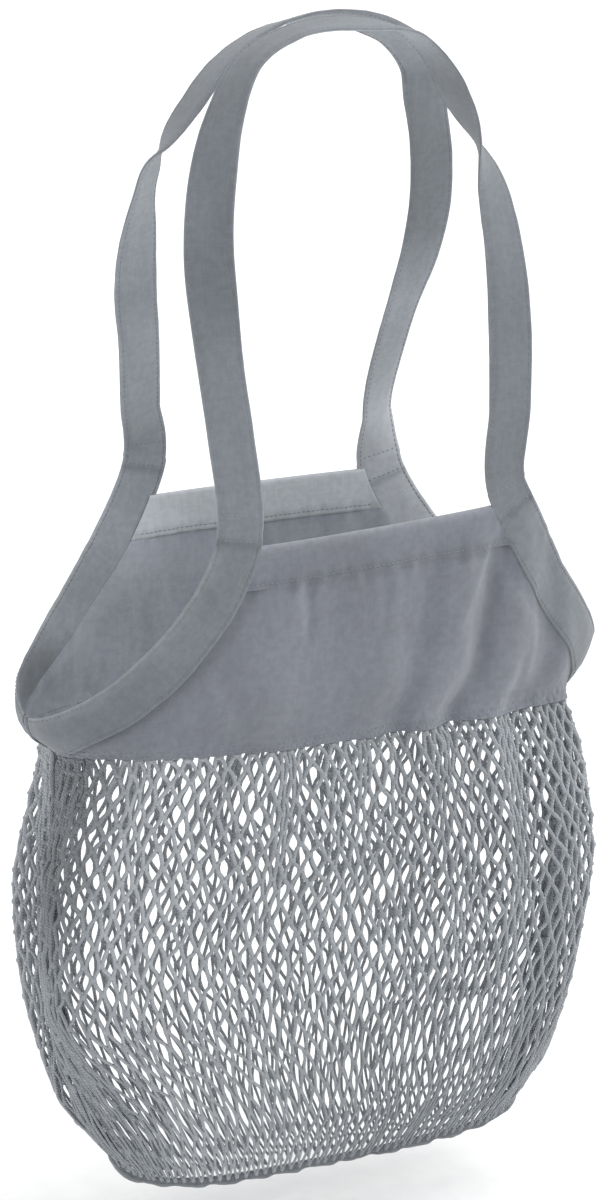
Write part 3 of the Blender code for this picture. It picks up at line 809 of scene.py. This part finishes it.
def scoop_band(side, end):
    """The strap down one scoop: points across it in rows, and the directions they face."""
    outer, inner = scoop_line(side, end, 0.0), scoop_line(side, end, STRAP_WIDTH)
    inner[-1] = (end, BORDER)
    rows = np.linspace(0, len(outer) - 1, SCOOP_ROWS).round().astype(int)
    k = ((1 - ACROSS) / 2)[None, :, None]
    maps = outer[rows][:, None] * (1 - k) + inner[rows][:, None] * k
    points, normals, _ = cloth_points(side, maps[..., 0], maps[..., 1])
    return points, normals


def free_band(side, left, route, right):
    """The free stretch of a strap between the tops of its two scoops."""
    down_left, down_right = left[6::-3, MIDDLE], right[0:7:3, MIDDLE]
    centre = np.concatenate([down_left, route[:, :3], down_right])
    turns = np.pad(route[:, 3], 3, mode="edge")
    distance = run_of(centre)
    table = np.column_stack([distance, centre, turns])
    start, finish = distance[2], distance[-3]
    place = np.linspace(start, finish, FREE_ROWS + 2)
    x, y, z, turn = smooth(table, place)
    points = np.stack([x, y, z], -1)
    tangent = unit(np.gradient(points, axis=0))
    away = unit(np.cross(tangent, (0.0, 1.0, 0.0)))
    flat = np.cross(away, tangent) * -side
    radians = np.radians(turn)[:, None]
    width = np.cos(radians) * flat + np.sin(radians) * away
    for base, near in ((left[0], place - start), (right[0], finish - place)):
        blend = np.clip(near / BASE_BLEND, 0, 1)[:, None]
        width = unit(width * blend + unit(base[0] - base[-1]) * (1 - blend))
    normal = unit(-side * np.cross(tangent, width))
    band = points[:, None] + width[:, None] * (ACROSS * STRAP_WIDTH / 2)[None, :, None]
    return band[1:-1], np.repeat(normal[1:-1, None], len(ACROSS), axis=1)


def strap_thickness(past):
    """Rounded edges, a groove under each row of stitches, and thinner where it binds."""
    rounded = np.clip(FROM_EDGE / 0.10, 0, 1)
    groove = 0.22 * hump(FROM_EDGE * STRAP_WIDTH / 2 - STRAP_STITCH_IN, 0.0007)
    step = BINDING_THICK + (1 - BINDING_THICK) * np.clip(-past / 0.0008, 0, 1)
    step = step - 0.25 * hump(past - 0.0006, 0.0008)
    return STRAP_THICK * (0.30 + 0.70 * np.sqrt(rounded) - groove)[None] * step


def strap_wear_and_shade(side, points, past):
    """Rubbed edges, painted shade in the step where the strap's end is sewn down, and painted light and
    shade on the inner side: outer and inner face.
    """
    bound = np.clip(past / 0.010, 0, 1)
    free_edges = 0.18 * hump(FROM_EDGE, 0.05)[None]
    outer_edge = 0.22 * hump(1 - ACROSS, 0.30)[None]
    # The dip at the sewn end is painted shade.
    wear_and_shade = free_edges * (1 - bound) + outer_edge * bound - 0.5 * hump(past, 0.0022)
    inner_wear_and_shade = wear_and_shade.copy()
    for face, x, z, wide, tall, amount in STRAP_PAINTED_SHADES:
        if face == side:
            off = ((points[..., 0] - x) / wide) ** 2 + ((points[..., 2] - z) / tall) ** 2
            inner_wear_and_shade += amount * np.exp(-(off**2))
    return np.clip(wear_and_shade, -1, 1), np.clip(inner_wear_and_shade, -1, 1)


def strap_thread_lines(points, normals, along, sewn):
    """A row of stitches down each edge and two across each end, on both faces."""
    lines = []
    for edge in (-1, 1):
        place = edge * (1 - STRAP_STITCH_IN / (STRAP_WIDTH / 2))
        column = np.interp(place, ACROSS[::-1], np.arange(len(ACROSS))[::-1])
        a, b = int(column), column - int(column)
        line = points[:, a] * (1 - b) + points[:, a + 1] * b
        facing = unit(normals[:, a] * (1 - b) + normals[:, a + 1] * b)
        for face in (-1, 1):
            lines.append((line + face * facing * 0.40 * STRAP_THICK, face * facing))
    for into_free in END_STITCHES:
        for place in (sewn[0] + into_free, sewn[1] - into_free):
            row = int(np.argmin(np.abs(along - place)))
            for face in (-1, 1):
                lift = face * normals[row, 5:-5] * 0.48 * STRAP_THICK
                lines.append((points[row, 5:-5] + lift, face * normals[row, 5:-5]))
    return lines


for side, word in WORDS.items():
    left_points, left_normals = scoop_band(side, LEFT)
    right_points, right_normals = scoop_band(side, RIGHT)
    free_points, free_normals = free_band(side, left_points, ROUTES[side], right_points)
    points = np.concatenate([left_points[::-1], free_points, right_points])
    normals = np.concatenate([left_normals[::-1], free_normals, right_normals])
    along = run_of(points[:, MIDDLE])
    w = np.repeat(ACROSS[None] * STRAP_WIDTH / 2, len(points), axis=0)
    s = np.repeat(along[:, None], len(ACROSS), axis=1)
    seed = 31 if side == FRONT else 47
    lengthwise = grain(w * 1.5, s, (0.024, 0.30), seed, octaves=2)
    edge_wave = np.abs(w / (STRAP_WIDTH / 2)) ** 3 * grain(s, s, (0.024, 0.024), seed + 1)
    points = points + normals * (0.0004 * lengthwise + 0.0002 * edge_wave)[..., None]
    left_top, right_top = along[len(left_points) - 1], along[-len(right_points)]
    sewn = left_top - STRAP_ENDS[(side, LEFT)], right_top + STRAP_ENDS[(side, RIGHT)]
    past = np.maximum(sewn[0] - s, s - sewn[1])
    thick, wear_and_shade = strap_thickness(past), strap_wear_and_shade(side, points, past)
    name, flat = word + "_handle_cloth", np.stack([w, s], -1)
    strap = cloth_wall(name, points, normals, thick, flat, STRAP_COTTON, wear_and_shade, flip=side == FRONT)
    thread = stitches(word + "_handle_stitches", strap_thread_lines(points, normals, along, sewn))
    for piece in (strap, thread):
        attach(piece, "root")
    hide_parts(word + "_handle")


# Net: the body of the bag, front and back, knitted in thick cotton cord. The bag's own
# weight draws its meshes longer than wide. The net is gathered a little under the
# border and strongly beside the side seams, where its meshes close up.

CELLS_ACROSS = 54
HALF_ROWS = 26
CORD = 0.00126          # radius
CORD_SIDES = 6
JOINT_SIDES = 7
CORD_THINNER = 0.38     # how much thinner the cord is drawn towards the bottom
PLY_WIDE, PLY_LONG = 0.0010, 0.0019 # one slanting ply, round the cord and down it
JOINT_HALF = 0.15       # half height of a joint, as a share of a half row
ROWS_LONGER = 0.16      # how much longer the meshes are drawn towards the bottom
SEAM_CLOSING = 0.76     # how much narrower the meshes are beside the side seams
CLOSE_FROM = {(FRONT, LEFT): 0.56, (FRONT, RIGHT): 0.80, (BACK, LEFT): 0.82, (BACK, RIGHT): 0.72}
NET_FLAT = (0.46, 0.28) # knitted width, before it is gathered, and length
NET_HALF_WIDTH = 0.20   # from its middle round to a side seam, as it hangs
# Places across the net, and its painted light and shade there: painted shade over the closed meshes by
# the front's left seam, and paler cords where more light falls
PAINTED_SHADE_AT = (-1.00, -0.58, -0.50, -0.30, 0.10, 0.70, 1.00)
NET_PAINTED_SHADE = {
    FRONT: (-1.00, -1.00, 0.28, 0.25, 0.00, 0.04, 0.25),
    BACK: (0.15, 0.25, 0.30, 0.30, 0.18, 0.12, 0.20),
}
# Gathers: face, share at the border, share at the foot, half width in share, closing,
# rise, level where it starts to die away, level where it ends
GATHERS = (
    (FRONT, -0.13, -0.17, 0.040, 0.50, 0.0035, 1.20, 1.60),
    (FRONT, 0.09, 0.04, 0.035, 0.50, 0.0035, 1.10, 1.45),
    (FRONT, 0.32, 0.28, 0.050, 0.35, 0.0030, 1.20, 1.85),
    (FRONT, 0.52, 0.46, 0.050, 0.40, 0.0030, 1.30, 1.90),
    (FRONT, -0.48, -0.42, 0.050, 0.20, -0.0020, 1.30, 1.95),
    (BACK, -0.42, -0.36, 0.050, 0.30, 0.0030, 1.20, 1.80),
    (BACK, -0.15, -0.12, 0.050, 0.30, -0.0025, 1.30, 1.90),
    (BACK, 0.15, 0.12, 0.050, 0.35, 0.0030, 1.25, 1.75),
    (BACK, 0.42, 0.36, 0.050, 0.35, 0.0035, 1.30, 1.90),
)


def gather_pull(side, share, level):
    """How much the meshes close, and how far they rise, in the net's gathers."""
    closing, rise = np.zeros_like(share), np.zeros_like(share)
    for face, top, foot, half_width, close, lift, die, end in GATHERS:
        if face == side:
            middle = top + (foot - top) * (level - BORDER)
            fade = np.clip((end - level) / (end - die), 0, 1)
            pull = hump(share - middle, half_width) * fade
            closing += close * pull
            rise += lift * pull
    return closing, rise


def seam_closing(side, share):
    """How far the meshes close up beside the side seams, from 0 to 1."""
    start = np.where(share < 0, CLOSE_FROM[(side, LEFT)], CLOSE_FROM[(side, RIGHT)])
    k = np.clip((np.abs(share) - start) / 0.09, 0, 1)
    return k * k * (3 - 2 * k)


def net_grain(share, level, size, seed):
    """Unevenness over the net, with its sizes in metres across and down."""
    return grain(share * NET_HALF_WIDTH, level * NET_FLAT[1], size, seed)


def net_joints(side):
    """Share and level of the net's lattice, as half rows down and half meshes across."""
    seed = 60 if side == FRONT else 70
    down = np.linspace(0, 1, HALF_ROWS + 1)[:, None]
    down = down * (1 - ROWS_LONGER) + down**3 * ROWS_LONGER
    share = np.linspace(-1, 1, 2 * CELLS_ACROSS + 1)[None].repeat(HALF_ROWS + 1, axis=0)
    level = BORDER + (BOTTOM - BORDER) * down.repeat(share.shape[1], axis=1)
    middles = (share[:, 1:] + share[:, :-1]) / 2
    closing, _ = gather_pull(side, middles, level[:, 1:])
    by_seam = seam_closing(side, middles) * np.clip((1.95 - level[:, 1:]) / 0.35, 0.3, 1)
    uneven = 1 + 0.16 * net_grain(middles, level[:, 1:], (0.035, 0.08), seed)
    widths = np.maximum((1 - SEAM_CLOSING * by_seam - closing) * uneven, 0.26)
    share = np.pad(np.cumsum(widths, axis=1), ((0, 0), (1, 0)))
    share = 2 * share / share[:, -1:] - 1
    wander = np.random.default_rng(seed).uniform(-1, 1, (2,) + share.shape)
    share = share + 0.0045 * wander[0] * np.clip((1 - np.abs(share)) / 0.02, 0, 1)
    sag = 0.012 * net_grain(share, level, (0.08, 0.12), seed + 1)
    inner = np.clip(np.minimum(level - BORDER, BOTTOM - level) / 0.06, 0, 1)
    return share, level + (0.0065 * wander[1] + sag) * inner


def net_points(side, share, level):
    """Places on the net with its gathers and ripples, and the direction it faces there."""
    t = t_of(side, share, np.maximum(level, BORDER))
    normals = outward(side, t, np.maximum(level, BORDER))
    _, rise = gather_pull(side, share, level)
    ripple = 0.0014 * net_grain(share, level, (0.035, 0.12), 81 if side == FRONT else 83)
    inner = np.clip((1 - np.abs(share)) / 0.08, 0, 1) * np.clip((BOTTOM - level) / 0.08, 0, 1)
    behind = np.clip(1 - (level - BORDER) / 0.035, 0, 1.3)
    lift = (rise + ripple) * inner * (1 - np.minimum(behind, 1)) - 0.0016 * behind
    creased = relief(side, length_of(side, t, level), height(t, level), level)
    lift += creased * np.clip((FOLDS_END - level) / (FOLDS_END - BORDER), 0, 1)
    return surface(side, t, level) + normals * lift[..., None], normals


def net_painted_shade(side, rows, columns):
    """Painted light and shade on the net; the painted shade over the closed meshes fades lower down."""
    wear_and_shade = np.interp(columns / CELLS_ACROSS - 1, PAINTED_SHADE_AT, NET_PAINTED_SHADE[side])
    return np.maximum(wear_and_shade, np.minimum(wear_and_shade, 0) * np.clip((17 - rows) / 7, 0, 1))


def tubes(paths, normals, radii, sides):
    """Round cords along many paths of equal count: points, faces and cord coordinates."""
    tangent = unit(np.gradient(paths, axis=1))
    sideways = unit(np.cross(tangent, normals))
    down = np.cross(tangent, sideways)
    angle = np.arange(sides) * 2 * math.pi / sides
    ring = np.cos(angle)[:, None] * sideways[..., None, :] + np.sin(angle)[:, None] * down[..., None, :]
    points = paths[..., None, :] + ring * radii[..., None, None]
    count, length = paths.shape[:2]
    index = np.arange(count * length * sides).reshape(count, length, sides)
    turned = np.roll(index, -1, axis=2)
    corners = index[:, :-1], turned[:, :-1], turned[:, 1:], index[:, 1:]
    quads = np.stack(corners, -1).reshape(-1, 4)
    faces = quads.tolist() + index[:, 0, ::-1].tolist() + index[:, -1].tolist()
    steps = np.linalg.norm(np.diff(paths, axis=1), axis=2)
    along = np.pad(np.cumsum(steps, axis=1), ((0, 0), (1, 0)))
    round_cord = np.abs(np.arange(sides) - sides / 2) / sides * 0.002
    flat = np.stack(np.broadcast_arrays(round_cord, along[..., None]), -1)
    return points.reshape(-1, 3), faces, flat.reshape(-1, 2)


def cord_cotton(name, colour):
    """Soft cotton cord, knitted as a chain: slanting plies either side of its middle."""
    material = cotton(name, colour, pitch=0.0009, bump_depth=0.0003)
    tree = material.node_tree
    split = tree.nodes.new("ShaderNodeSeparateXYZ")
    tree.links.new(tree.nodes["flat"].outputs["UV"], split.inputs[0])
    round_cord = math_node(tree, "MULTIPLY", split.outputs[0], 2 * math.pi / PLY_WIDE)
    down_cord = math_node(tree, "MULTIPLY", split.outputs[1], 2 * math.pi / PLY_LONG)
    plies = math_node(tree, "SINE", math_node(tree, "ADD", round_cord, down_cord))
    bump = tree.nodes["bump"]
    bump.inputs["Strength"].default_value = 0.8
    tree.links.new(plies, bump.inputs["Height"])
    return material


NET_COTTON = cord_cotton("net_cotton", (0.305, 0.329, 0.354))
# Places down one half row, and how far across to the next joint the cord is there
DOWN_HALF_ROW = np.array([-JOINT_HALF, JOINT_HALF, 0.33, 0.50, 0.67])
ACROSS_HALF_ROW = np.array([0.0, 0.0, 0.22, 0.50, 0.78])
# Places down one joint, and how much thicker than the cord it is there
DOWN_JOINT = JOINT_HALF * np.array([-1.15, -0.75, 0.0, 0.75, 1.15])
JOINT_SIZES = CORD * np.array([0.75, 1.45, 1.65, 1.45, 0.75])


def drawn_thinner(rows):
    """The cord's thickness at a row, as a share of what it is in the upper half."""
    return 1 - CORD_THINNER * np.clip(rows / HALF_ROWS * 2 - 1, 0, 1)


def net_cords(name, side, share, level):
    """The zigzag cords, each running down from joint to joint between two columns."""
    cords = np.arange(2 * CELLS_ACROSS)[:, None, None]
    half_rows = np.arange(HALF_ROWS)[None, :, None]
    this_column = cords + (cords + half_rows) % 2
    next_column = cords + (cords + half_rows + 1) % 2
    rows = (half_rows + DOWN_HALF_ROW).repeat(len(cords), axis=0).reshape(len(cords), -1)
    columns = (this_column + (next_column - this_column) * ACROSS_HALF_ROW).reshape(len(cords), -1)
    beside = np.where(this_column == cords, 1.0, -1.0) * (1 - 2 * ACROSS_HALF_ROW)
    beside = beside.reshape(len(cords), -1)
    at = bilinear(share, rows, columns), bilinear(level, rows, columns)
    points, normals = net_points(side, *at)
    across = unit(np.cross((0.0, 0.0, 1.0), normals)) * -side
    points = points + across * (beside * CORD * 0.80)[..., None]
    by_seam = seam_closing(side, columns / CELLS_ACROSS - 1)
    each_cord = np.repeat(cords[:, 0] * 0.004, rows.shape[1], axis=1)
    bunched = grain(each_cord, rows * 0.010, (0.012, 0.05), seed=95)
    points = points + normals * (0.0026 * by_seam * bunched)[..., None]
    radii = CORD * (1 + 0.10 * grain(rows * 0.01, columns * 0.01, (0.02, 0.02), seed=91))
    radii = radii * drawn_thinner(rows)
    verts, faces, flat = tubes(points, normals, radii, CORD_SIDES)
    wear_and_shade = net_painted_shade(side, rows, columns).repeat(CORD_SIDES, axis=1)
    return add_mesh(name, verts, faces, flat, NET_COTTON, wear_and_shade)


def joint_wraps(name, side, share, level):
    """The wraps of cord that hold two zigzags together, at every joint of the lattice."""
    lattice = np.add.outer(np.arange(HALF_ROWS + 1), np.arange(2 * CELLS_ACROSS + 1))
    joint_row, joint_column = (axis.astype(float)[:, None] for axis in np.nonzero(lattice % 2 == 0))
    whole = np.clip(joint_row, 0.2, HALF_ROWS - 0.2)
    rows = whole + DOWN_JOINT
    columns = joint_column.repeat(len(DOWN_JOINT), axis=1)
    at = bilinear(share, rows, columns), bilinear(level, rows, columns)
    points, normals = net_points(side, *at)
    verts, faces, flat = tubes(points, normals, JOINT_SIZES * drawn_thinner(joint_row), JOINT_SIDES)
    wear_and_shade = net_painted_shade(side, rows, columns).repeat(JOINT_SIDES, axis=1)
    return add_mesh(name, verts, faces, flat, NET_COTTON, wear_and_shade)


for side, word in WORDS.items():
    share, level = net_joints(side)
    net = net_cords(word + "_net_cord", side, share, level)
    joints = joint_wraps(word + "_net_joints", side, share, level)
    for piece in (net, joints):
        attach(piece, "root")
    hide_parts(word + "_net")


# Side and bottom seam: the edges of both nets, laid together and overlocked, so that
# the meshes bunch up into a soft ridge with thread laid across it.

SEAM_INSIDE, SEAM_OUTSIDE = 0.001, 0.0045
SEAM_ROWS, SEAM_POINTS = 150, 420
BACKWARDS = np.array([0.0, 1.0, 0.0])
# Places across the seam, from its inside out, and its thickness there as a share
SEAM_PROFILE = np.array([0.55, 0.95, 1.10, 1.0, 0.85, 0.95, 1.05, 0.75, 0.35])
SEAM_THICK = 0.0030
SWAY_LONG, BUNCH_LONG = 0.021, 0.0052 # one sway of its edge, and one bunch of meshes
SEAM_CLOTH_DROP = 0.005 # how far below the border it still is the panels' own cloth

down = [(-1.0, level) for level in np.linspace(scoop_end(FRONT, LEFT), BOTTOM, SEAM_ROWS)]
along = [(t, BOTTOM) for t in np.linspace(-1, 1, SEAM_ROWS)[1:-1]]
up = [(1.0, level) for level in np.linspace(BOTTOM, scoop_end(FRONT, RIGHT), SEAM_ROWS)]
line = np.array([surface(FRONT, t, level) * (1, 0, 1) for t, level in down + along + up])
run = run_of(line)
even = np.linspace(0, run[-1], SEAM_POINTS)
line = read_line(even, run, line)
tangent = unit(np.gradient(line, axis=0))
away = unit(np.cross(BACKWARDS, tangent))
reach = np.linspace(-SEAM_INSIDE, SEAM_OUTSIDE, len(SEAM_PROFILE))
s = np.repeat(even[:, None], len(reach), axis=1)
cloth_ends = {LEFT: EDGES[0, 1] - SEAM_CLOTH_DROP, RIGHT: EDGES[-1, 1] - SEAM_CLOTH_DROP}
cloth_end = np.where(line[:, :1] < 0, cloth_ends[LEFT], cloth_ends[RIGHT])
in_cloth = np.clip((line[:, 2:] - cloth_end) / 0.006 + 0.5, 0, 1)
r = reach[None] * (1 - 0.55 * in_cloth) - 0.0008 * in_cloth
outwards = np.clip(r / SEAM_OUTSIDE, 0, 1)
scallop = 1 + 0.22 * grain(s, s, (0.030, 0.030), seed=107) * outwards
drift = 2 * grain(s, s, (0.08, 0.08), seed=101)
sway = 0.0009 * np.sin(2 * math.pi * s / SWAY_LONG + drift) * outwards
points = line[:, None] + away[:, None] * (r * scallop)[..., None]
points = points + BACKWARDS * sway[..., None]
normals = np.broadcast_to(-BACKWARDS, points.shape)
drift = 1.5 * grain(s, r, (0.03, 0.03), seed=103)
bunched = 1 + 0.16 * np.sin(2 * math.pi * s / BUNCH_LONG + drift) * (1 - in_cloth)
thick = SEAM_THICK * SEAM_PROFILE[None] * bunched * (1 + 0.42 * in_cloth)
SEAM_COTTON = cord_cotton("seam_cotton", (0.235, 0.254, 0.275)), PANEL_COTTON[0]
name, flat = "side_and_bottom_seam_cord", np.stack([r, s], -1)
seam = cloth_wall(name, points, normals, thick, flat, SEAM_COTTON, flip=True)
for polygon in seam.data.polygons:
    end = LEFT if polygon.center.x < 0 else RIGHT
    polygon.material_index = 1 if polygon.center.z > cloth_ends[end] else 0
overlock = []
for face in (-1, 1):
    out = -BACKWARDS * face
    shell = points + out * (thick / 2)[..., None]
    for k in np.nonzero(in_cloth[:-1, 0] == 0)[0]:
        over = (shell[k, 1:-1] + shell[k + 1, 1:-1]) / 2
        overlock.append((over, np.repeat(out[None], len(over), axis=0)))
thread = stitches("side_and_bottom_seam_overlock", overlock, radius=0.00032, pitch=0.0040, lift=0.0002)
for piece in (seam, thread):
    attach(piece, "root")
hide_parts("side_and_bottom_seam")


# Border stitches: the net's gathered top is sewn to the lower edge of each panel by two
# rows of stitches, a little way up from the edge.

for side, word in WORDS.items():
    rows_of_thread = []
    for up_from_edge in (0.0020, 0.0050):
        t, level = cloth_grid(side, np.array([BORDER - up_from_edge / CLOTH_DROP]), STRAP_WIDTH, 400)
        points, normals, _ = cloth_points(side, t, level)
        rows_of_thread.append((points[0] + normals[0] * PANEL_THICK / 2, normals[0]))
        rows_of_thread.append((points[0] - normals[0] * PANEL_THICK / 2, -normals[0]))
    thread = stitches(word + "_border_stitches", rows_of_thread)
    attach(thread, "root")


# Floor, light and camera: a plain pale floor just under the hanging bag, a large soft
# light from the upper right, a weaker one from the left and an even, bright room.

FLOOR_Z = -0.7060
AIM = np.array([-0.028, 0.0, -0.334])
CAMERA_AWAY = 2.8
CAMERA_TURN, CAMERA_UP = math.radians(-28), math.radians(17)
CAMERA_LENS = 147.0


def plain_paper():
    material = bpy.data.materials.new("floor_paper")
    material.use_nodes = True
    tree = material.node_tree
    shader = tree.nodes["Principled BSDF"]
    place = tree.nodes.new("ShaderNodeTexCoord")
    fibres = noise_node(tree, place.outputs["Object"], 60.0, 4.0)
    tone = range_node(tree, fibres, 0.3, 0.7, 0.0, 1.0)
    colour = mix_node(tree, tone, (0.90, 0.90, 0.90, 1.0), (0.93, 0.93, 0.93, 1.0))
    tree.links.new(colour, shader.inputs["Base Color"])
    shader.inputs["Roughness"].default_value = 0.9
    shader.inputs["Specular IOR Level"].default_value = 0.1
    return material


bpy.ops.object.select_all(action="DESELECT")
on_floor = (0.0, 0.0, FLOOR_Z)
bpy.ops.mesh.primitive_circle_add(vertices=96, radius=9.0, fill_type="NGON", location=on_floor)
floor = bpy.context.object
floor.name = "floor"
floor.data.materials.append(plain_paper())

world = bpy.data.worlds.new("even_room")
world.use_nodes = True
world.node_tree.nodes["Background"].inputs["Color"].default_value = (1.0, 1.0, 1.0, 1.0)
world.node_tree.nodes["Background"].inputs["Strength"].default_value = 0.78
bpy.context.scene.world = world


def soft_light(name, towards, spread_angle, power):
    """A very soft light from a direction, as from a large white screen."""
    lamp = bpy.data.lights.new(name, "SUN")
    lamp.angle = math.radians(spread_angle)
    lamp.energy = power
    light = bpy.data.objects.new(name, lamp)
    light.rotation_euler = mathutils.Vector(towards).to_track_quat("Z", "Y").to_euler()
    bpy.context.scene.collection.objects.link(light)


soft_light("screen_light", (0.70, -0.12, 0.70), 70, 2.2)
soft_light("side_light", (-0.75, 0.10, 0.65), 100, 0.7)

back_off = np.array([
    math.sin(CAMERA_TURN) * math.cos(CAMERA_UP),
    -math.cos(CAMERA_TURN) * math.cos(CAMERA_UP),
    math.sin(CAMERA_UP),
])
camera_data = bpy.data.cameras.new("camera")
camera_data.lens = CAMERA_LENS
camera_data.clip_end = 60.0
camera = bpy.data.objects.new("camera", camera_data)
camera.location = AIM + back_off * CAMERA_AWAY
camera.rotation_euler = (math.pi / 2 - CAMERA_UP, 0.0, CAMERA_TURN)
bpy.context.scene.collection.objects.link(camera)
bpy.context.scene.camera = camera
bpy.context.scene.view_settings.view_transform = "Standard"

bpy.context.view_layer.update()
